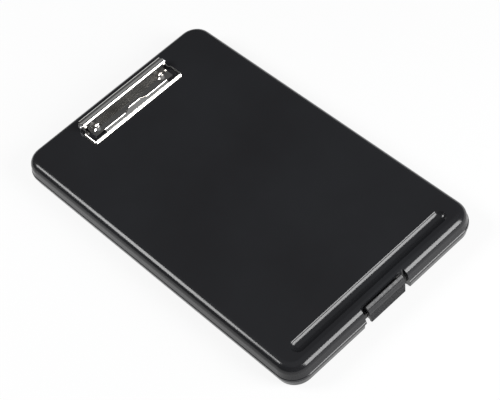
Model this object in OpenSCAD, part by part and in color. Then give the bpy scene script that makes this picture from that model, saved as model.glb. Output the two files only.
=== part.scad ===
// Storage clipboard box: a slim hinged case that carries a spring clip on its lid.
// Millimetres. Z is up, Y runs from the latch edge to the hinge edge, X across.
// The origin is the middle of the footprint, on the face that the box lies on.

/* [Box] */
// Length of the lid, from the latch edge to the hinge edge
box_l = 374; // [330:1:420]
// Width of the lid
box_w = 230; // [190:1:280]
// Height of the closed box without its clip
box_h = 26; // [23:0.5:36]
// Corner radius in plan
corner_r = 20; // [14:1:32]
// Thickness of the moulded walls
wall = 2; // [1.6:0.1:2.6]
// Height of the base's outer wall, up to the parting line
base_h = 8.6; // [7.6:0.2:12]
// Draft of the base's outer wall, from the parting line down
base_draft = 1.8; // [1:0.1:2.4]
// Radius of the base's lower edge
foot_r = 2.5; // [1:0.1:3.5]

/* [Lid] */
// Radius of the lid's rolled top edge
top_r = 8.5; // [5:0.5:10]
// Draft of the lid's outer wall, from its lower edge up
lid_draft = 1.2; // [0.8:0.1:2]
// Open line between the lid's lower edge and the base
lid_gap = 0.4; // [0.3:0.05:0.8]
// Height of the bead round the lid's lower edge
bead_h = 3; // [2:0.2:4]
// How far the bead stands out
bead_out = 0.5; // [0.3:0.1:0.8]
// Height of the base's locating lip inside the lid
lip_h = 5; // [3:0.5:7]
// Thickness of the locating lip
lip_t = 1.4; // [1.2:0.1:2]
// Clearance between the lip and the lid's wall
lip_gap = 0.4; // [0.3:0.05:0.8]

/* [Pen groove] */
// Length of the groove
groove_l = 187; // [120:1:195]
// Width of the groove between its rounded rims
groove_w = 12.4; // [10:0.2:13.4]
// Depth of the groove
groove_depth = 4; // [3:0.1:4.6]
// Width of the chamfered rim round the groove
groove_rim = 0.6; // [0.4:0.1:1]
// Thickness of the lid's wall below the groove
groove_wall = 1.4; // [1.2:0.1:2]
// Distance from the latch edge to the middle of the groove
groove_inset = 20.3; // [19.6:0.1:34]

/* [Hinge] */
// Length of the row of knuckles
hinge_l = 167; // [100:1:185]
// Number of knuckles, shared in turn by the base and the lid
knuckles = 5; // [3:2:9]
// Outer radius of a knuckle
knuckle_r = 3.4; // [3:0.1:3.6]
// Radius of the steel rod
rod_r = 1.2; // [1:0.1:1.5]
// Gap between knuckles, and from a knuckle to the other shell
knuckle_gap = 0.35; // [0.3:0.05:0.6]
// Radial running clearance on every pin
run_gap = 0.05; // [0.02:0.01:0.1]

/* [Latch] */
// Width of the notch in the latch edge
notch_w = 54; // [50:1:70]
// Depth of the notch
notch_d = 7.2; // [7:0.1:9]
// Radius of the notch's inner corners
notch_r = 2.4; // [1:0.1:4]
// Width of the latch across its top
latch_w = 44; // [40:1:46]
// How much narrower the latch is at its foot
latch_taper = 3; // [0:0.5:5]
// Thickness of the latch's face
latch_t = 3; // [2.6:0.1:3.4]
// Radius of the latch's knuckles
latch_r = 2.8; // [2.5:0.1:3]
// Height of the latch's pivot
latch_z = 5.2; // [5.1:0.1:6]
// Width of each of the base's two latch lugs
lug_w = 5; // [4:0.5:7]
// Distance between the middles of the lugs
lug_pitch = 22; // [18:1:26]
// How far the hook reaches over the lid's catch
latch_bite = 0.8; // [0.4:0.1:1]

/* [Clip] */
// Width of the jaw
jaw_w = 113; // [90:1:130]
// Width of the base plate's rolled housing
housing_w = 104; // [80:1:104]
// Distance from the hinge edge back to the clip's pivot
clip_inset = 21.5; // [20:0.5:40]
// Distance from the pivot forward to the jaw's front face
jaw_reach = 25.2; // [24:0.2:34]
// Thickness of the pressed sheet
sheet = 1; // [0.8:0.1:1.2]
// Radius of the housing's roll
housing_r = 5.2; // [4.8:0.1:5.6]
// Height of the housing's upright front wall
riser_h = 7; // [6.4:0.2:8]
// Height of the jaw's front and side flanges
flange_h = 5.2; // [4.6:0.2:6.6]
// Width of the lifting lip
lip_w = 80; // [50:1:84]
// Height of the lifting lip's top edge above the lid
lip_top = 8.5; // [7.8:0.1:10]
// Width of the thumb tab at its root
tab_root = 32; // [24:1:44]
// Width of the thumb tab across its top
tab_tip = 11; // [8:1:20]
// Height of the thumb tab
tab_h = 2.6; // [1.6:0.2:5]
// Radius of the clip's rod
clip_rod_r = 1.5; // [1.2:0.1:1.7]
// Wire radius of the torsion springs
wire_r = 0.4; // [0.3:0.05:0.45]
// Turns in each torsion spring
spring_turns = 8; // [4:1:10]
// How far the jaw opens, in degrees
jaw_travel = 30; // [20:1:34]
// Distance between the two rivets
rivet_pitch = 83; // [60:1:88]
// Radius of a rivet's head
rivet_head_r = 4.8; // [4:0.1:5]
// Radius of a rivet's shank
rivet_r = 2.4; // [2:0.1:2.6]

/* [Hidden] */
$fn = 64;
// Clearance kept between faces of pieces that move past each other
seat_gap = 0.3;
// Extra length of a cutting tool past the face that it cuts
past = 1;

half_w = box_w / 2 - corner_r;
half_l = box_l / 2 - corner_r;
front_y = -box_l / 2;
lid_z = base_h + lid_gap;
base_step = bead_out + 0.1;
edge_cut = 0.6;
lip_out = bead_out + wall + lip_gap;
lip_in = lip_out + lip_t;

hinge_y = box_l / 2 + knuckle_gap + knuckle_r;
hinge_z = base_h + lid_gap / 2;
knuckle_w = (hinge_l - (knuckles - 1) * knuckle_gap) / knuckles;
mid_y = (hinge_y + knuckle_r + front_y) / 2;

groove_y = front_y + groove_inset;
groove_side = 1.2;
groove_x = groove_w / 2 - 0.25;
groove_r = (groove_x * groove_x + pow(groove_depth - groove_side, 2))
    / (2 * (groove_depth - groove_side));
groove_up = box_h + groove_r - groove_depth;

notch_y = front_y + notch_d;
notch_wall = wall + lip_gap + lip_t;
recess_y = notch_y + wall - seat_gap;
latch_set = 0.3;
latch_face = front_y + latch_set;
latch_pivot = recess_y - latch_r - 2 * seat_gap;
latch_foot = latch_z - latch_r;
latch_curve_y = latch_face + top_r;
latch_curve_z = box_h - top_r - latch_set;
latch_back = notch_y - 3.1;
latch_pin_r = 1.2;
latch_bore = latch_pin_r + run_gap;
catch_z = latch_curve_z + 0.4;
catch_t = 2;
catch_out = 1.6;
catch_w = latch_w - 10;
hook_z = catch_z + catch_t + seat_gap;
hook_t = 1.9;
rib_pitch = 1.3;
rib_w = 0.6;
rib_depth = 0.3;
ribs = floor((latch_curve_z - latch_foot - foot_r) / rib_pitch);

top_z = box_h;
pivot_y = box_l / 2 - clip_inset;
pivot_z = top_z + housing_r;
jaw_y = pivot_y - jaw_reach;
riser_y = pivot_y - housing_r - 0.4;
slope_a = 60;
plate_x = housing_w / 2 - 2.5;
plate_y = jaw_y + 7.1;
tongue_y = jaw_y + 4.4;
tongue_x = lip_w / 2 - 2;
lip_lean = 0.7 * (lip_top - flange_h);
bend_r = 2;
crank_y = pivot_y - housing_r - 3.5;
ear_in = housing_w / 2 + seat_gap;
ear_r = 3.4;
rod_head_r = 2.2;
rod_head_t = 1;
rivet_y = riser_y - seat_gap - rivet_head_r;
rivet_dome = 1.7;
pad_t = 1.2;
washer_t = 0.8;
coil_r = clip_rod_r + wire_r + 0.8;
coil_pitch = 2 * wire_r + 0.45;
slot_gap = 0.3;
slot_ease = 15;
leg_a = 100;
black = [0.12, 0.12, 0.13];
latch_black = [0.2, 0.2, 0.21];
chrome = [0.8, 0.8, 0.82];
steel = [0.6, 0.6, 0.62];

// Moves a piece from the box's own middle to the middle of the whole footprint
module placed() {
    translate([0, -mid_y, 0]) children();
}

// A flat section (x across the cut, y up) drawn out along X, centred on x = 0.
// Its x axis then points along +Y.
module along_x(length) {
    translate([length / 2, 0, 0]) rotate([90, 0, -90]) mirror([1, 0, 0])
        linear_extrude(length) children();
}

// A round bar along X, from x0 to x1
module bar_x(x0, x1, y, z, r) {
    translate([x0, y, z]) rotate([0, 90, 0]) cylinder(r = r, h = x1 - x0);
}

// A block between two corners
module block(low, high) {
    translate(low) cube(high - low);
}

// Carries a wall section round the box. The section's x is measured out from the
// centre of a corner, so that corner_r is the lid's widest edge.
module around() {
    for (turn = [0, 180]) rotate(turn) {
        translate([half_w, half_l, 0]) rotate([90, 0, 0]) linear_extrude(2 * half_l) children();
        rotate(90) translate([half_l, half_w, 0]) rotate([90, 0, 0])
            linear_extrude(2 * half_w) children();
        translate([half_w, half_l, 0]) rotate_extrude(angle = 90) children();
        translate([-half_w, half_l, 0]) rotate(90) rotate_extrude(angle = 90) children();
    }
}

// The part of a wall section that belongs to the latch edge, drawn along X
module latch_edge(length) {
    translate([0, -half_l, 0]) mirror([0, 1, 0]) along_x(length) children();
}

// Outline of the box in plan, drawn in by edge
module outline(edge) {
    r = corner_r - edge;
    square([2 * half_w, 2 * (half_l + r)], center = true);
    square([2 * (half_w + r), 2 * half_l], center = true);
    for (x = [-half_w, half_w], y = [-half_l, half_l]) translate([x, y]) circle(r);
}

// Plan of the notch, grown by a margin, with rounded inner corners
module notch_plan(margin) {
    x = notch_w / 2 + margin;
    y = notch_y + margin;
    translate([-x, front_y - past]) square([2 * x, y - notch_r - front_y + past]);
    translate([-x + notch_r, front_y]) square([2 * (x - notch_r), y - front_y]);
    for (side = [-1, 1]) translate([side * (x - notch_r), y - notch_r]) circle(notch_r);
}

module lid_outer_section() {
    roll_x = corner_r - lid_draft - top_r;
    roll_z = box_h - top_r;
    polygon([[0, lid_z], [corner_r, lid_z], [corner_r, lid_z + bead_h - bead_out],
        [corner_r - bead_out, lid_z + bead_h], [corner_r - lid_draft, roll_z],
        [roll_x, roll_z], [roll_x, box_h], [0, box_h]]);
    translate([roll_x, roll_z]) circle(top_r);
}

module lid_inner_section() {
    roll_x = corner_r - lid_draft - top_r;
    roll_z = box_h - top_r;
    polygon([[-past, lid_z - past], [corner_r - bead_out - wall, lid_z - past],
        [corner_r - bead_out - wall, lid_z + bead_h], [corner_r - lid_draft - wall, roll_z],
        [roll_x, roll_z], [roll_x, box_h - wall], [-past, box_h - wall]]);
    translate([roll_x, roll_z]) circle(top_r - wall);
}

module base_outer_section() {
    top_x = corner_r - base_step;
    foot_x = corner_r - base_draft - foot_r;
    polygon([[0, 0], [foot_x, 0], [foot_x, foot_r], [corner_r - base_draft, foot_r],
        [top_x, base_h - edge_cut], [top_x - edge_cut, base_h], [0, base_h]]);
    translate([foot_x, foot_r]) circle(foot_r);
}

// Every other knuckle of the hinge, from the first (0) or the second (1)
module knuckle_row(first, low, high) {
    for (i = [first : 2 : knuckles - 1])
        translate([-hinge_l / 2 + knuckle_w / 2 + i * (knuckle_w + knuckle_gap), 0, 0])
            along_x(knuckle_w) {
                translate([hinge_y, hinge_z]) circle(knuckle_r);
                translate([box_l / 2 - wall, low])
                    square([hinge_y - box_l / 2 + wall, high - low]);
            }
}

module hinge_bore() {
    bar_x(-hinge_l / 2 - past, hinge_l / 2 + past, hinge_y, hinge_z, rod_r + run_gap);
}

// The two lugs behind the latch, which carry its pin
module latch_lugs() {
    for (side = [-1, 1]) translate([side * lug_pitch / 2, 0, 0]) along_x(lug_w) {
        translate([latch_pivot, latch_z]) circle(latch_r);
        translate([latch_pivot, latch_foot])
            square([recess_y + wall / 2 - latch_pivot, 2 * latch_r]);
    }
}

// Half of the pen groove's cut, in section: round floor, steep side and chamfered rim
module groove_half_section() {
    intersection() {
        translate([0, groove_up]) circle(groove_r);
        translate([0, box_h - groove_depth - past])
            square([groove_r, groove_depth + past - groove_side]);
    }
    polygon([[0, box_h + past], [groove_w / 2 + groove_rim + past, box_h + past],
        [groove_w / 2, box_h - groove_rim], [groove_x - 0.05, box_h - groove_side],
        [0, box_h - groove_side]]);
}

// The trough under the lid that keeps the wall's thickness below the groove
module trough_half_section() {
    intersection() {
        translate([0, groove_up]) circle(groove_r + groove_wall);
        translate([0, box_h - groove_depth - 2 * wall])
            square([groove_r + groove_wall, groove_depth + wall * 1.5]);
    }
}

// A half section carried along the groove's straight run and round its two ends
module groove_run() {
    run = groove_l / 2 - groove_w / 2;
    translate([0, groove_y, 0]) {
        along_x(2 * run) {
            children();
            mirror([1, 0]) children();
        }
        for (side = [-1, 1]) translate([side * run, 0, 0]) rotate(-90 * side)
            rotate_extrude(angle = 180) children();
    }
}

module base_tray() {
    color(black) placed() difference() {
        union() {
            around() base_outer_section();
            block([-half_w, -half_l, 0], [half_w, half_l, base_h]);
            translate([0, 0, base_h - wall]) linear_extrude(wall + lip_h) outline(lip_out);
            knuckle_row(0, hinge_z - knuckle_r, base_h);
        }
        translate([0, 0, wall]) linear_extrude(box_h) difference() {
            outline(lip_in);
            notch_plan(notch_wall);
        }
        translate([0, 0, -past]) linear_extrude(base_h + lip_h + 2 * past)
            notch_plan(wall - seat_gap);
        block([-notch_w / 2 - wall - lip_gap, front_y, base_h],
            [notch_w / 2 + wall + lip_gap, notch_y + wall + lip_gap, base_h + lip_h + past]);
        hinge_bore();
    }
    color(black) placed() difference() {
        latch_lugs();
        bar_x(-notch_w / 2, notch_w / 2, latch_pivot, latch_z, latch_bore);
    }
}

module lid_shell() {
    color(black) placed() difference() {
        union() {
            around() difference() {
                lid_outer_section();
                lid_inner_section();
            }
            block([-half_w, -half_l, box_h - wall], [half_w, half_l, box_h]);
            intersection() {
                latch_edge(notch_w + 2 * wall) lid_outer_section();
                block([-box_w, front_y - past, lid_z], [box_w, notch_y + wall, box_h]);
            }
            groove_run() trough_half_section();
            block([-jaw_w / 2, tongue_y, box_h - wall - pad_t],
                [jaw_w / 2, pivot_y + housing_r, box_h - wall / 2]);
            knuckle_row(1, lid_z, hinge_z + knuckle_r);
        }
        translate([0, 0, lid_z - past]) linear_extrude(box_h - lid_z + 2 * past) notch_plan(0);
        groove_run() groove_half_section();
        for (side = [-1, 1]) translate([side * rivet_pitch / 2, rivet_y, box_h - 3 * wall])
            cylinder(r = rivet_r + run_gap, h = 4 * wall);
        hinge_bore();
    }
    color(black) placed() block([-catch_w / 2, notch_y - catch_out, catch_z],
        [catch_w / 2, notch_y + wall / 2, catch_z + catch_t]);
}

module hinge_rod() {
    color(steel) placed() bar_x(-hinge_l / 2, hinge_l / 2, hinge_y, hinge_z, rod_r);
}

// Side view of the latch: a face that follows the lid's rolled edge, ending in a hook
module latch_section() {
    inner_y = latch_face + latch_t;
    foot_round = min(foot_r, latch_t - 0.5);
    difference() {
        union() {
            translate([latch_curve_y, latch_curve_z]) intersection() {
                difference() {
                    circle(top_r);
                    circle(top_r - latch_t);
                }
                translate([-top_r, 0]) square([latch_back - latch_face, top_r]);
            }
            translate([latch_face, latch_foot + foot_round])
                square([latch_t, latch_curve_z - latch_foot - foot_round]);
            translate([latch_face + foot_round, latch_foot])
                square([latch_t - foot_round, foot_round]);
            intersection() {
                translate([latch_face + foot_round, latch_foot + foot_round]) circle(foot_round);
                translate([latch_face, latch_foot]) square([latch_t, foot_round + 0.1]);
            }
            translate([inner_y - 0.4, hook_z])
                square([notch_y - catch_out + latch_bite - inner_y + 0.4, hook_t]);
        }
        translate([latch_curve_y, latch_curve_z]) rotate(145) translate([top_r, 0]) circle(0.6);
        for (i = [0 : ribs - 1]) translate([latch_face, latch_foot + foot_r + i * rib_pitch])
            square([2 * rib_depth, rib_w], center = true);
    }
}

module latch_tab() {
    foot_x = latch_w / 2 - latch_taper / 2;
    relief = latch_r + 2 * seat_gap;
    color(latch_black) placed() difference() {
        union() {
            intersection() {
                along_x(latch_w) latch_section();
                translate([0, notch_y, 0]) rotate([90, 0, 0]) linear_extrude(notch_d + past)
                    polygon([[-foot_x, latch_foot], [foot_x, latch_foot],
                        [latch_w / 2, latch_curve_z], [latch_w / 2, box_h],
                        [-latch_w / 2, box_h], [-latch_w / 2, latch_curve_z]]);
            }
            bar_x(-foot_x + 1, foot_x - 1, latch_pivot, latch_z, latch_r);
            block([-foot_x + 1, latch_face + latch_t - 0.5, latch_z - 1],
                [foot_x - 1, latch_pivot, latch_z + latch_r]);
        }
        for (side = [-1, 1]) {
            x0 = side * lug_pitch / 2 - lug_w / 2 - seat_gap;
            bar_x(x0, x0 + lug_w + 2 * seat_gap, latch_pivot, latch_z, relief);
            block([x0, latch_pivot - relief, latch_z],
                [x0 + lug_w + 2 * seat_gap, recess_y, latch_z + relief]);
        }
        bar_x(-latch_w, latch_w, latch_pivot, latch_z, latch_bore);
    }
}

module latch_pin() {
    reach = latch_w / 2 - latch_taper / 2 - 1;
    color(steel) placed() bar_x(-reach, reach, latch_pivot, latch_z, latch_pin_r);
}

// Side view of the box in front of the clip's rolled tube, drawn in by a margin
module riser_section(margin) {
    t = housing_r - 0.3 * sheet;
    front = riser_y - pivot_y + margin;
    translate([pivot_y, pivot_z]) polygon([[front, margin - housing_r],
        [front, riser_h - housing_r - 0.6 * margin],
        [0.6 * margin - t * cos(slope_a), t * sin(slope_a) - 0.8 * margin],
        [0, 0], [-0.3 * housing_r, margin - housing_r]]);
}

// Slot in an end cheek of the housing, along which a spring's end travels
module spring_slot(side) {
    translate([side * (plate_x - sheet / 2), pivot_y, pivot_z]) rotate([90, 0, 90])
        rotate(270 - leg_a - jaw_travel - slot_ease)
            rotate_extrude(angle = jaw_travel + 2 * slot_ease)
            translate([coil_r - wire_r - slot_gap, -sheet])
                square([2 * (wire_r + slot_gap), 2 * sheet]);
}

module clip_plate() {
    color(chrome) placed() difference() {
        union() {
            along_x(housing_w) translate([pivot_y, pivot_z]) difference() {
                circle(housing_r);
                circle(housing_r - sheet);
            }
            along_x(2 * plate_x) difference() {
                riser_section(0);
                riser_section(sheet);
                translate([pivot_y, pivot_z]) circle(housing_r - sheet / 2);
            }
            for (side = [-1, 1]) translate([side * (plate_x - sheet / 2), 0, 0]) along_x(sheet) {
                riser_section(0);
                translate([pivot_y, pivot_z]) circle(housing_r - sheet / 2);
            }
            block([-plate_x, plate_y, top_z], [plate_x, riser_y + sheet, top_z + sheet]);
            block([-tongue_x, tongue_y, top_z], [tongue_x, plate_y + sheet, top_z + sheet]);
        }
        bar_x(-jaw_w, jaw_w, pivot_y, pivot_z, clip_rod_r + run_gap);
        for (side = [-1, 1]) {
            spring_slot(side);
            translate([side * rivet_pitch / 2, rivet_y, top_z - past])
                cylinder(r = rivet_r + run_gap, h = sheet + 2 * past);
        }
    }
}

module clip_rod() {
    color(steel) placed() {
        reach = ear_in + sheet + seat_gap;
        bar_x(-reach - rod_head_t, reach + rod_head_t, pivot_y, pivot_z, clip_rod_r);
        for (x0 = [-reach - rod_head_t, reach])
            bar_x(x0, x0 + rod_head_t, pivot_y, pivot_z, rod_head_r);
    }
}

// Plan of the jaw's bent strip: front and sides, drawn in by edge
module bend_plan(edge) {
    r = bend_r - edge;
    x = jaw_w / 2 - edge;
    y = jaw_y + edge;
    translate([-x, y + r]) square([2 * x, crank_y - y - r + edge]);
    translate([-x + r, y]) square([2 * (x - r), r + 1]);
    for (side = [-1, 1]) translate([side * (x - r), y + r]) circle(r);
}

// Plan of the whole strip, with both arms cranked in to the housing's ends
module jaw_plan() {
    outer = jaw_w / 2;
    inner = ear_in + sheet;
    difference() {
        bend_plan(0);
        bend_plan(sheet);
    }
    for (side = [0, 1]) mirror([side, 0])
        polygon([[outer - sheet, crank_y - 1], [outer, crank_y - 1], [outer, crank_y],
            [inner, crank_y + 2.6], [inner, pivot_y + housing_r], [ear_in, pivot_y + housing_r],
            [ear_in, crank_y + 2.2], [outer - sheet, crank_y - 0.4]]);
}

// Side view of the strip: a straight flange, then a link that rises to a round ear
module arm_side() {
    polygon([[jaw_y - past, top_z + seat_gap], [crank_y + 1, top_z + seat_gap],
        [pivot_y, pivot_z - 0.7 * ear_r], [pivot_y, pivot_z + 0.7 * ear_r],
        [crank_y + 1, top_z + flange_h], [jaw_y - past, top_z + flange_h]]);
    translate([pivot_y, pivot_z]) circle(ear_r);
}

// Side view of the lifting lip, which leans back from the front flange
module lip_side() {
    translate([jaw_y, top_z]) polygon([[0, flange_h - sheet], [0, flange_h],
        [lip_lean, lip_top], [lip_lean + sheet, lip_top],
        [lip_lean + sheet, lip_top - 1.2 * sheet], [sheet, flange_h - sheet]]);
}

module clip_jaw() {
    color(chrome) placed() difference() {
        union() {
            intersection() {
                translate([0, 0, top_z]) linear_extrude(3 * housing_r) jaw_plan();
                along_x(2 * jaw_w) arm_side();
            }
            along_x(lip_w) lip_side();
            translate([0, jaw_y + lip_lean + sheet, top_z + lip_top]) rotate([90, 0, 0])
                linear_extrude(sheet) polygon([[-tab_root / 2, -sheet], [tab_root / 2, -sheet],
                    [tab_root / 2, 0], [tab_tip / 2, tab_h], [-tab_tip / 2, tab_h],
                    [-tab_root / 2, 0]]);
        }
        bar_x(-jaw_w, jaw_w, pivot_y, pivot_z, clip_rod_r + run_gap);
        for (side = [0, 1]) mirror([side, 0, 0])
            bar_x(ear_in - past, ear_in + sheet + past, pivot_y - coil_r * sin(leg_a),
                pivot_z - coil_r * cos(leg_a), wire_r + run_gap);
    }
}

// Centre line of the right-hand spring: a foot on the plate, the coil round the rod,
// and an end that runs straight out to the jaw's ear. Angles start at the bottom of
// the coil and turn towards the latch edge.
coil_steps = 8;
coil_turn = 360 * spring_turns + leg_a;
coil_end = plate_x - 2 * sheet - 2 * wire_r;
coil_len = coil_pitch * coil_turn / 360;
foot_drop = coil_r + 0.2;
foot_len = 2;
spring_line = concat(
    [[coil_end - coil_len, -foot_len, -foot_drop]],
    [for (i = [0 : coil_turn * coil_steps / 360]) let (a = i * 360 / coil_steps)
        [coil_end - coil_len + coil_pitch * a / 360, -coil_r * sin(a), -coil_r * cos(a)]],
    [[coil_end + 2 * wire_r, -coil_r * sin(leg_a), -coil_r * cos(leg_a)],
     [ear_in + sheet, -coil_r * sin(leg_a), -coil_r * cos(leg_a)]]);

spring_self_gap = min([for (i = [0 : len(spring_line) - 1 - coil_steps / 2])
    for (j = [i + coil_steps / 2 : len(spring_line) - 1])
        norm(spring_line[i] - spring_line[j])]) - 2 * wire_r;
echo(spring_self_gap = spring_self_gap);

function unit(v) = v / norm(v);
function heading(line, i) = unit(line[min(i + 1, len(line) - 1)] - line[max(i - 1, 0)]);

// A tube of six sides along a line of points, with one closed mesh
module wire(line, r) {
    sides = 6;
    n = len(line);
    rings = [for (i = [0 : n - 1])
        let (t = heading(line, i), s = unit(cross(t, line[i][1] == 0 && line[i][2] == 0
            ? [0, 0, 1] : unit([0.001, line[i][1], line[i][2]]))), u = cross(t, s))
        for (k = [0 : sides - 1]) line[i] + r * (cos(360 * k / sides) * s
            + sin(360 * k / sides) * u)];
    skin = [for (i = [0 : n - 2], k = [0 : sides - 1]) let (m = (k + 1) % sides)
        each [[i * sides + k, (i + 1) * sides + m, (i + 1) * sides + k],
            [i * sides + k, i * sides + m, (i + 1) * sides + m]]];
    polyhedron(rings, concat(skin, [[for (k = [sides - 1 : -1 : 0]) k]],
        [[for (k = [0 : sides - 1]) (n - 1) * sides + k]]));
}

module clip_spring(side) {
    color(steel) placed() translate([0, pivot_y, pivot_z]) mirror([side, 0, 0])
        wire(spring_line, wire_r);
}

module clip_spring_left() {
    clip_spring(1);
}

module clip_spring_right() {
    clip_spring(0);
}

// A tubular rivet: domed head with a dimple, shank, and a clenched tail
module rivet(x) {
    shank = sheet + wall + pad_t + washer_t;
    color(chrome) placed() translate([x, rivet_y, top_z + sheet]) {
        rotate_extrude() difference() {
            intersection() {
                translate([0, -dome_r(rivet_head_r, rivet_dome) + rivet_dome])
                    circle(dome_r(rivet_head_r, rivet_dome));
                square([rivet_head_r, rivet_dome]);
            }
            translate([0, rivet_dome + 1.2]) circle(2.2);
        }
        translate([0, 0, -shank]) cylinder(r = rivet_r, h = shank + rivet_dome / 3);
        translate([0, 0, -shank - 0.9]) cylinder(r = rivet_r + 1, h = 0.9);
    }
}

function dome_r(r, h) = (r * r + h * h) / (2 * h);

module rivet_left() {
    rivet(-rivet_pitch / 2);
}

module rivet_right() {
    rivet(rivet_pitch / 2);
}

module washer(x) {
    color(steel) placed() translate([x, rivet_y, box_h - wall - pad_t - washer_t])
        difference() {
            cylinder(r = rivet_head_r, h = washer_t);
            translate([0, 0, -past]) cylinder(r = rivet_r + run_gap, h = washer_t + 2 * past);
        }
}

module rivet_washer_left() {
    washer(-rivet_pitch / 2);
}

module rivet_washer_right() {
    washer(rivet_pitch / 2);
}

base_tray();
lid_shell();
hinge_rod();
latch_tab();
latch_pin();
clip_plate();
clip_rod();
clip_jaw();
clip_spring_left();
clip_spring_right();
rivet_left();
rivet_right();
rivet_washer_left();
rivet_washer_right();
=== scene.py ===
import math

import bmesh
import bpy
import numpy as np
from mathutils import Matrix, Vector


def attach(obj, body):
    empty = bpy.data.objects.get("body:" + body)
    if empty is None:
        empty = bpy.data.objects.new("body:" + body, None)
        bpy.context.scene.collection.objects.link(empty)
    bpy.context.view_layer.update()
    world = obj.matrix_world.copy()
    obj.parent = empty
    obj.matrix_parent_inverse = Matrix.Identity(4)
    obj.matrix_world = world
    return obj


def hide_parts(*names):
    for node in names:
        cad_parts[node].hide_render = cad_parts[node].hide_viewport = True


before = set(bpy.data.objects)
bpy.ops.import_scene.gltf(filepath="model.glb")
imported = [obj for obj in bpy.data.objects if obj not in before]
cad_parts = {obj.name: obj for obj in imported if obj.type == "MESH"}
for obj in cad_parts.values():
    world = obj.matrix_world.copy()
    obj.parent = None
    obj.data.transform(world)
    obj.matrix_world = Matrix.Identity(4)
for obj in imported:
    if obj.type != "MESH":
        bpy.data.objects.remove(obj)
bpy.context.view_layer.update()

# The solids bring most of the shape. This script gives them their finishes, puts a dressed
# jaw and two dressed springs in the place of the clip's solid ones, and adds the floor, the
# light and the photograph's camera. The clip's lengths are in millimetres and all angles in
# degrees; materials, floor, light and camera use metres.

MM = 0.001
SHARP_ANGLE = 38        # an edge between faces that turn more than this stays sharp
MERGE = 1e-7            # metres between points that count as one


# ---------------------------------------------------------------- surfaces

def mesh_piece(name, points, faces, finish):
    """Puts worked-out points (n, 3) in metres and a face list into one smooth mesh object."""
    mesh = bpy.data.meshes.new(name)
    mesh.from_pydata(points.tolist(), [], faces)
    mesh.polygons.foreach_set("use_smooth", np.ones(len(mesh.polygons), dtype=bool))
    mesh.materials.append(finish)
    turn_outwards(mesh)
    mesh.set_sharp_from_angle(angle=math.radians(SHARP_ANGLE))
    piece = bpy.data.objects.new(name, mesh)
    bpy.context.collection.objects.link(piece)
    return piece


def turn_outwards(mesh):
    """Merges doubles and points the faces of each closed shell outwards."""
    shell = bmesh.new()
    shell.from_mesh(mesh)
    bmesh.ops.remove_doubles(shell, verts=shell.verts, dist=MERGE)
    bmesh.ops.recalc_face_normals(shell, faces=shell.faces)
    shell.to_mesh(mesh)
    shell.free()
    mesh.update()


def together(parts):
    """Joins (points, faces) pairs into one pair."""
    points, faces, start = [], [], 0
    for p, f in parts:
        points.append(p)
        faces += [[i + start for i in face] for face in f]
        start += len(p)
    return np.vstack(points), faces


def ease(t):
    """A smooth step from 0 to 1: t held between 0 and 1, then 3 t^2 - 2 t^3."""
    t = np.clip(t, 0, 1)
    return t * t * (3 - 2 * t)


def bent_line(run, slope):
    """How far in and how far up a bent line gets, from 0, with its samples on the last axis.

    run is the length along the line and slope its angle there in radians. The answers are the
    running sums of step * cos and step * sin of the slope halfway between two samples."""
    step, mid = np.diff(run), (slope[..., 1:] + slope[..., :-1]) / 2
    start = np.zeros_like(slope[..., :1])
    return [np.concatenate([start, np.cumsum(step * part(mid), axis=-1)], axis=-1)
            for part in (np.cos, np.sin)]


def tube_faces(rings, sides):
    """Quads between neighbouring rings of a closed tube, and one cap at each end.

    Quad (i, k) joins points k and k+1 of ring i to points k+1 and k of ring i+1."""
    i, k = np.meshgrid(np.arange(rings - 1), np.arange(sides), indexing="ij")
    m = (k + 1) % sides
    quads = np.stack([i * sides + k, i * sides + m, (i + 1) * sides + m, (i + 1) * sides + k], -1)
    last = (rings - 1) * sides
    return quads.reshape(-1, 4).tolist() + [list(range(sides - 1, -1, -1)),
                                            list(range(last, last + sides))]


def sheet_shell(top, out, thick):
    """A sheet of even thickness: its upper grid (m, n, 3), the same grid moved back along the
    unit normals out, and quads that close the four edges."""
    m, n = top.shape[:2]
    points = np.vstack([top.reshape(-1, 3), (top - thick * out).reshape(-1, 3)])
    i, k = np.meshgrid(np.arange(m - 1), np.arange(n - 1), indexing="ij")
    first = i * n + k
    quads = np.stack([first, first + n, first + n + 1, first + 1], -1).reshape(-1, 4)
    faces = quads.tolist() + (quads[:, ::-1] + m * n).tolist()
    rim = ([i * n for i in range(m)] + [(m - 1) * n + k for k in range(1, n)]
           + [i * n + n - 1 for i in range(m - 2, -1, -1)] + list(range(n - 2, 0, -1)))
    faces += [[p, q, q + m * n, p + m * n] for p, q in zip(rim, rim[1:] + rim[:1])]
    return points, faces


def wire_tube(path, radius, sides=12):
    """Round wire about a path. A ring's point is path + radius * (cos a * n + sin a * b):
    t is the path's heading, n the way out from the coil's axis made square to t, b = t x n."""
    t = np.gradient(path, axis=0)
    t /= np.linalg.norm(t, axis=1, keepdims=True)
    n = path * [0, 1, 1]
    n = n - t * (n * t).sum(1, keepdims=True)
    n /= np.linalg.norm(n, axis=1, keepdims=True)
    b = np.cross(t, n)
    a = np.linspace(0, 2 * np.pi, sides, endpoint=False)[None, :, None]
    rings = path[:, None, :] + radius * (np.cos(a) * n[:, None, :] + np.sin(a) * b[:, None, :])
    return rings.reshape(-1, 3), tube_faces(len(path), sides)


# ---------------------------------------------------------------- finishes

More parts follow.
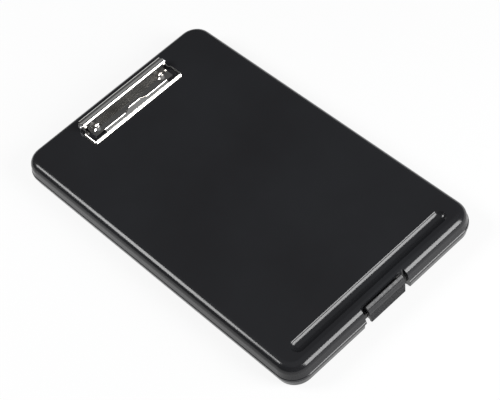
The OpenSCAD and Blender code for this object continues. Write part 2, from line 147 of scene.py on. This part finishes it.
class Finish:
    """A procedural material, built from named nodes on Object coordinates."""

    def __init__(self, name):
        self.material = bpy.data.materials.new(name)
        self.material.use_nodes = True
        self.tree = self.material.node_tree
        self.shader = self.tree.nodes["Principled BSDF"]
        self.place = self.add("ShaderNodeTexCoord").outputs["Object"]

    def add(self, kind, **sockets):
        """A new node with the given values in its sockets."""
        node = self.tree.nodes.new(kind)
        for name, value in sockets.items():
            node.inputs[name].default_value = value
        return node

    def join(self, source, node, socket):
        """Links an output to a node's socket, and hands the node back."""
        self.tree.links.new(source, node.inputs[socket])
        return node

    def stretched(self, scale):
        """Object coordinates times a scale for each axis."""
        return self.join(self.place, self.add("ShaderNodeMapping", Scale=scale),
                         "Vector").outputs["Vector"]

    def noise(self, scale, detail=2.0, rough=0.5, stretch=None):
        """Noise of a given fineness per metre, drawn out along an axis where stretch says so."""
        node = self.add("ShaderNodeTexNoise", Scale=scale, Detail=detail, Roughness=rough)
        self.join(self.stretched(stretch) if stretch else self.place, node, "Vector")
        return node.outputs["Fac"]

    def ramp(self, source, low, high, start=0.35, end=0.65):
        """A colour ramp between two colours; a plain number stands for a grey."""
        node = self.join(source, self.add("ShaderNodeValToRGB"), "Fac")
        for stop, at, value in zip(node.color_ramp.elements, (start, end), (low, high)):
            stop.position = at
            stop.color = (*value, 1) if isinstance(value, tuple) else (value, value, value, 1)
        return node.outputs["Color"]

    def bump(self, height, depth, strength, before=None):
        """Adds a bump of a given depth in metres over an earlier one."""
        node = self.add("ShaderNodeBump", Strength=strength, Distance=depth)
        self.join(height, node, "Height")
        if before:
            self.join(before, node, "Normal")
        return node.outputs["Normal"]

    def done(self, colour, roughness, normal, **plain):
        """The finished material, with the worked-out inputs joined and the plain ones set."""
        self.join(colour, self.shader, "Base Color")
        self.join(roughness, self.shader, "Roughness")
        self.join(normal, self.shader, "Normal")
        for name, value in plain.items():
            self.shader.inputs[name].default_value = value
        return self.material


def shell_plastic():
    """Black moulded plastic: a fine satin grain, slow waves of the moulding, and soft
    handling marks."""
    f = Finish("black_shell_plastic")
    cloud = f.noise(9.0, detail=3.0)
    grain = f.noise(2600.0, detail=2.0)
    wave = f.noise(14.0, detail=1.0)
    marks = f.noise(60.0, detail=6.0, rough=0.7, stretch=(1.0, 0.35, 1.0))
    colour = f.ramp(cloud, (0.0132, 0.0132, 0.0147), (0.0158, 0.0163, 0.0182))
    rough = f.ramp(marks, 0.15, 0.21, start=0.3, end=0.75)
    normal = f.bump(wave, depth=0.0015, strength=0.08)
    normal = f.bump(grain, depth=0.00002, strength=0.15, before=normal)
    return f.done(colour, rough, normal, IOR=1.41)


def latch_plastic():
    """Charcoal plastic of the latch: the same grain, a little greyer and drier."""
    f = Finish("charcoal_latch_plastic")
    cloud = f.noise(220.0, detail=4.0)
    marks = f.noise(500.0, detail=3.0)
    grain = f.noise(2200.0, detail=2.0)
    colour = f.ramp(cloud, (0.010, 0.010, 0.0115), (0.016, 0.016, 0.018))
    rough = f.ramp(marks, 0.42, 0.52)
    normal = f.bump(grain, depth=0.00004, strength=0.5)
    return f.done(colour, rough, normal, IOR=1.5)


def clip_chrome():
    """Bright nickel plate on pressed steel: rolling lines along the sheet, warm patches."""
    f = Finish("clip_nickel_plate")
    patches = f.noise(90.0, detail=3.0)
    wear = f.noise(240.0, detail=5.0, rough=0.7, stretch=(0.2, 1.0, 1.0))
    lines = f.noise(900.0, detail=2.0, rough=0.5, stretch=(0.08, 1.0, 1.0))
    wave = f.noise(60.0, detail=1.0)
    colour = f.ramp(patches, (0.60, 0.58, 0.55), (0.68, 0.665, 0.64))
    rough = f.ramp(wear, 0.06, 0.12)
    normal = f.bump(lines, depth=0.00002, strength=0.12)
    normal = f.bump(wave, depth=0.0004, strength=0.06, before=normal)
    return f.done(colour, rough, normal, Metallic=1.0)


def plain_steel():
    """Plain drawn steel of the rods, washers and springs, with fine lines along X."""
    f = Finish("drawn_steel")
    patches = f.noise(300.0, detail=4.0)
    wear = f.noise(800.0, detail=4.0, rough=0.6, stretch=(0.1, 1.0, 1.0))
    lines = f.noise(2500.0, detail=2.0, rough=0.5, stretch=(0.06, 1.0, 1.0))
    colour = f.ramp(patches, (0.42, 0.42, 0.43), (0.56, 0.56, 0.57))
    rough = f.ramp(wear, 0.24, 0.40)
    normal = f.bump(lines, depth=0.00002, strength=0.4)
    return f.done(colour, rough, normal, Metallic=1.0)


black = shell_plastic()
charcoal = latch_plastic()
chrome = clip_chrome()
steel = plain_steel()

NODE_FINISH = {
    "base_tray": black, "lid_shell": black, "latch_tab": charcoal,
    "clip_plate": chrome, "clip_jaw": chrome, "rivet_left": chrome, "rivet_right": chrome,
    "hinge_rod": steel, "latch_pin": steel, "clip_rod": steel,
    "clip_spring_left": steel, "clip_spring_right": steel,
    "rivet_washer_left": steel, "rivet_washer_right": steel,
}
for node, finish in NODE_FINISH.items():
    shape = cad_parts[node].data
    shape.materials.clear()
    shape.materials.append(finish)


# ---------------------------------------------------------------- clip jaw
#
# The clip is worked out on the lid: x and y from the lid's middle, z from its top face.

SHIFT_Y, LID_TOP = 3.575, 26.0      # that point is at y = -SHIFT_Y, z = LID_TOP in the frame
JAW_X, JAW_Y = 56.7, 139.8          # half the jaw's width, and its front edge
SHEET, REST = 0.9, 0.3              # the sheet's thickness, and the jaw's height over the lid
PIVOT_Y, PIVOT_Z = 165.5, 5.2       # the clip's rod
EAR_X, ARM_HALF = 52.8, 0.5         # the middle of an ear's sheet, and half its thickness
RIM_STEPS = 24                      # steps along the section of the jaw's rim


def seat(points):
    """From millimetres on the lid to metres in the frame."""
    return (points + [0.0, -SHIFT_Y, LID_TOP]) * MM


def rim_section(lengths, slopes):
    """Section of bent sheet, starting upright at the gripping edge: how far in and how far up.

    The slope runs straight between the given values at the given lengths. The outer line is
    a bent_line, and the inner one lies SHEET from it along the normal. Point RIM_STEPS is the
    outer line's end."""
    run = np.linspace(0, lengths[-1], RIM_STEPS + 1)
    slope = np.radians(np.interp(run, lengths, slopes))
    far, up = bent_line(run, slope)
    up = REST + up
    return (np.concatenate([far, (far + SHEET * np.sin(slope))[::-1]]),
            np.concatenate([up, (up - SHEET * np.cos(slope))[::-1]]))


FRONT = rim_section((0, 0.5, 2.6, 3.6), (80, 58, 45, 3))
ARM = rim_section((0, 3.4), (80, 0))


def jaw_frame(corner=2.4, tightest=0.15, arm_start=5.2, arm_end=157.2, arm_rings=6):
    """The jaw's rim, carried round a U: left arm, front, right arm.

    Plan: the outer line drawn in by the section's distance d, with corners of radius
    corner - d, never less than tightest. Round a corner, at angle b, the section goes from
    the arm's to the front's in the share sin^2 b. The straight arms run from arm_start behind
    the front edge to arm_end."""
    b = np.radians(np.linspace(0, 90, 13))[:, None]
    share = np.sin(b) ** 2
    inward = (1 - share) * ARM[0] + share * FRONT[0]
    up = (1 - share) * ARM[1] + share * FRONT[1]
    r = np.maximum(corner - inward, tightest)
    bend = np.stack([inward + r - JAW_X - r * np.cos(b),
                     JAW_Y + inward + r - r * np.sin(b), up], -1)
    y = np.linspace(arm_end, JAW_Y + arm_start, arm_rings)[:, None]
    arm = np.stack(np.broadcast_arrays(ARM[0] - JAW_X, y, ARM[1]), -1)
    half = np.concatenate([arm, bend])
    rings = np.concatenate([half, half[::-1] * [-1, 1, 1]])
    return rings.reshape(-1, 3), tube_faces(len(rings), rings.shape[1])


def lifting_lip(half=40.0, root=15.0, tip=6.0, flat=2.7, tab=2.6, curl_r=1.4,
                slopes=(14, 62), under=(0.6, 0.02), thick=0.9 * SHEET):
    """The strip behind the jaw's front edge, with a thumb tab in its middle and a curled edge.

    Along the section the slope keeps its first value for the length flat + tab * t, then
    rises to the second over an arc of radius curl_r; t falls smoothly from 1 to 0 between the
    distances tip and root from the middle. y and z are a bent_line, which starts a little
    in front of and below the end of the jaw's outer line, so that the two join."""
    x = np.unique(np.concatenate([np.linspace(-half, half, 81), np.linspace(-root, root, 61)]))
    t = ease((root - np.abs(x)) / (root - tip))[:, None]
    low, high = np.radians(slopes)
    straight, curl = flat + tab * t, curl_r * (high - low)
    u = np.concatenate([np.linspace(0, 1, 9), np.linspace(1, 2, 13)[1:]])[None, :]
    run = np.where(u <= 1, u * straight, straight + (u - 1) * curl)
    slope = low + np.clip((run - straight) / curl_r, 0, high - low)
    y, z = bent_line(run, slope)
    wide = np.broadcast_to(x[:, None], y.shape)
    top = np.stack([wide, JAW_Y + FRONT[0][RIM_STEPS] - under[0] + y,
                    FRONT[1][RIM_STEPS] - under[1] + z], -1)
    out = np.stack([np.zeros_like(slope), -np.sin(slope), np.cos(slope)], -1)
    return sheet_shell(top, out, thick)


def jaw_arm(side, start=155.6, ear=3.4, inset=1.75, crank=(156.4, 3.4), rise=157.8,
            height=2.1, waist=0.7, chamfer=0.12):
    """A link that cranks in from the rim to the housing's end and rises to a round ear.

    x goes from inset within the rim to the ear by a smooth step, from y = crank[0] over the
    length crank[1]. Up to y = rise the lower edge lies at REST and the upper one at height.
    From there they run straight to waist ear radii below and above the pivot, and are
    widened to the ear's circle PIVOT_Z -/+ sqrt(ear^2 - (y - PIVOT_Y)^2)."""
    y = np.concatenate([np.linspace(start, PIVOT_Y - ear, 28)[:-1],
                        PIVOT_Y - ear * np.cos(np.radians(np.linspace(0, 179, 40)))])
    t = ease((y - crank[0]) / crank[1])
    x = (1 - t) * (JAW_X - inset) + t * EAR_X
    lean = np.clip((y - rise) / (PIVOT_Y - rise), 0, 1)
    low = REST + lean * (PIVOT_Z - waist * ear - REST)
    high = height + lean * (PIVOT_Z + waist * ear - height)
    circle = np.sqrt(np.maximum(ear ** 2 - (y - PIVOT_Y) ** 2, 0))
    past = y > PIVOT_Y
    near = np.abs(y - PIVOT_Y) < ear
    low = np.where(near, np.minimum(low, PIVOT_Z - circle), low)
    low = np.where(past, PIVOT_Z - circle, low)
    high = np.where(near, np.maximum(high, PIVOT_Z + circle), high)
    high = np.where(past, PIVOT_Z + circle, high)
    edge = [(-ARM_HALF, chamfer), (-ARM_HALF + chamfer, 0),
            (ARM_HALF - chamfer, 0), (ARM_HALF, chamfer)]
    ring = [(x + dx, low + dz) for dx, dz in edge] + [(x + dx, high - dz) for dx, dz in edge[::-1]]
    rings = np.stack([np.stack([side * across, y, up], -1) for across, up in ring], 1)
    return rings.reshape(-1, 3), tube_faces(len(y), len(ring))


points, faces = together([jaw_frame(), lifting_lip(), jaw_arm(-1), jaw_arm(1)])
jaw = mesh_piece("clip_jaw_pressing", seat(points), faces, chrome)
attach(jaw, "jaw")
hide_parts("clip_jaw")


# ---------------------------------------------------------------- clip springs

WIRE_R, COIL_R, COIL_PITCH, COIL_END = 0.4, 2.7, 1.25, 46.7
FULL_TURNS, LEG_ANGLE = 8, 100                  # the leg leaves the coil at LEG_ANGLE
COIL_ANGLE = 360 * FULL_TURNS + LEG_ANGLE


def spring_path(foot_run=2.0, foot_drop=0.2, leg_gap=0.8):
    """Centre line of the right-hand clip spring, in millimetres from the pivot.

    Foot: a straight run in to the bottom of the coil. Coil: x = x0 + pitch * a / 360,
    y = -r sin a, z = -r cos a. Leg: from leg_gap past the last turn straight out along X to
    the ear's outer face."""
    x0 = COIL_END - COIL_PITCH * COIL_ANGLE / 360
    u = np.linspace(0, 1, 6)[:-1, None]
    foot = (1 - u) * [x0, foot_run, -COIL_R - foot_drop] + u * [x0, 0.0, -COIL_R]
    a = np.radians(np.arange(0, COIL_ANGLE + 1, 10.0))
    coil = np.stack([x0 + COIL_PITCH * np.degrees(a) / 360, -COIL_R * np.sin(a),
                     -COIL_R * np.cos(a)], 1)
    way = math.radians(LEG_ANGLE)
    run = np.linspace(COIL_END + leg_gap, EAR_X + ARM_HALF, 12)[:, None]
    leg = run * [1, 0, 0] + [0, -COIL_R * math.sin(way), -COIL_R * math.cos(way)]
    return np.vstack([foot, coil, leg])


right_path = spring_path()
for name, side in (("right", 1), ("left", -1)):
    points, faces = wire_tube(right_path, WIRE_R)
    points = seat(points * [side, 1, 1] + [0, PIVOT_Y, PIVOT_Z])
    faces = [face[::side] for face in faces]        # a mirror image turns its faces round
    spring = mesh_piece("clip_spring_wire_" + name, points, faces, steel)
    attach(spring, "jaw")
    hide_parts("clip_spring_" + name)


# ---------------------------------------------------------------- floor, light, camera

FLOOR_HALF, FLOOR_Z = 6.0, -0.0002
FLOOR_GREY, FLOOR_GLOW = 0.86, 0.86     # its own colour, and how much of it glows white


def floor_piece():
    """A wide flat floor just under the box: pale paper for the light that falls on it, and
    mostly a white glow for the eye and for what reflects or lets through."""
    corners = np.array([[x * FLOOR_HALF, y * FLOOR_HALF, FLOOR_Z]
                        for x, y in ((-1, -1), (1, -1), (1, 1), (-1, 1))])
    material = bpy.data.materials.new("pale_floor")
    material.use_nodes = True
    nodes, links = material.node_tree.nodes, material.node_tree.links
    nodes.remove(nodes["Principled BSDF"])

    def worked(operation, source, other):
        """The output of a math node on a socket and another socket or a number."""
        node = nodes.new("ShaderNodeMath")
        node.operation = operation
        links.new(source, node.inputs[0])
        if isinstance(other, float):
            node.inputs[1].default_value = other
        else:
            links.new(other, node.inputs[1])
        return node.outputs[0]

    paper = nodes.new("ShaderNodeBsdfDiffuse")
    paper.inputs["Color"].default_value = (FLOOR_GREY, FLOOR_GREY, FLOOR_GREY, 1)
    glow = nodes.new("ShaderNodeEmission")
    glow.inputs["Color"].default_value = (1, 1, 1, 1)
    glow.inputs["Strength"].default_value = 1.0
    ray = nodes.new("ShaderNodeLightPath").outputs
    seen = worked("MAXIMUM", ray["Is Camera Ray"], ray["Is Glossy Ray"])
    seen = worked("MAXIMUM", seen, ray["Is Transmission Ray"])
    mix = nodes.new("ShaderNodeMixShader")
    links.new(worked("MULTIPLY", seen, FLOOR_GLOW), mix.inputs[0])
    links.new(paper.outputs[0], mix.inputs[1])
    links.new(glow.outputs[0], mix.inputs[2])
    links.new(mix.outputs[0], nodes["Material Output"].inputs["Surface"])
    floor = mesh_piece("floor", corners, [[0, 1, 2, 3]], material)


def soft_panel(name, toward, size, distance=1.5, radiance=13.5, aim=(0.0, 0.0, 0.02)):
    """A rectangular studio panel in a given direction from the aim point, facing it.

    Its power is radiance * pi * area, so that its face shows that radiance."""
    lamp = bpy.data.lights.new(name, "AREA")
    lamp.shape = "RECTANGLE"
    lamp.size, lamp.size_y = size
    lamp.energy = radiance * math.pi * size[0] * size[1]
    panel = bpy.data.objects.new(name, lamp)
    bpy.context.collection.objects.link(panel)
    way = Vector(toward).normalized()
    panel.rotation_mode = "QUATERNION"
    panel.rotation_quaternion = way.to_track_quat("Z", "Y")
    panel.location = Vector(aim) + way * distance


def studio_air(heights=(0.80, 0.93), greys=(0.11, 0.36), tint=(0.94, 0.97, 1.0)):
    """The world's light, slightly blue: dim from every side and brighter from overhead.

    A ramp on the Z of the direction, between the two heights, leads from grey to grey."""
    world = bpy.data.worlds.new("studio_air")
    bpy.context.scene.world = world
    world.use_nodes = True
    nodes, links = world.node_tree.nodes, world.node_tree.links
    fade = nodes.new("ShaderNodeValToRGB")
    for stop, height, grey in zip(fade.color_ramp.elements, heights, greys):
        stop.position = height
        stop.color = (*(part * grey for part in tint), 1)
    split = nodes.new("ShaderNodeSeparateXYZ")
    links.new(nodes.new("ShaderNodeTexCoord").outputs["Generated"], split.inputs[0])
    links.new(split.outputs["Z"], fade.inputs["Fac"])
    links.new(fade.outputs["Color"], nodes["Background"].inputs["Color"])
    nodes["Background"].inputs["Strength"].default_value = 1.0


PICTURE_PX, SENSOR = 500, 36.0          # the picture's width, the camera's in millimetres
FOCAL_PX, TURN, LIFT, ROLL, REACH = 1618.07, -31.54, 51.27, 15.1, 1.4965
LOOK_AT = Vector((0.00377, -0.008465, 0.0))


def photo_camera():
    """The photograph's camera: back = (sin t cos l, -cos t cos l, sin l) from the point it
    looks at, rolled about its own axis, with its focal length in pixels of the picture."""
    t, l, r = math.radians(TURN), math.radians(LIFT), math.radians(ROLL)
    back = Vector((math.sin(t) * math.cos(l), -math.cos(t) * math.cos(l), math.sin(l)))
    right = (-back).cross(Vector((0, 0, 1))).normalized()
    down = (-back).cross(right)
    across = right * math.cos(r) + down * math.sin(r)
    below = down * math.cos(r) - right * math.sin(r)
    lens = bpy.data.cameras.new("photo_camera")
    lens.sensor_width = SENSOR
    lens.lens = FOCAL_PX / PICTURE_PX * SENSOR
    camera = bpy.data.objects.new("photo_camera", lens)
    bpy.context.collection.objects.link(camera)
    camera.matrix_world = Matrix.Translation(LOOK_AT + back * REACH) @ Matrix(
        (across, -below, back)).transposed().to_4x4()
    bpy.context.scene.camera = camera


floor_piece()
soft_panel("front_panel", (0.33, -0.83, 0.43), (0.75, 0.86))
soft_panel("side_panel", (-0.52, 0.53, 0.66), (0.62, 0.58))
studio_air()
photo_camera()
bpy.context.scene.view_settings.view_transform = "Standard"
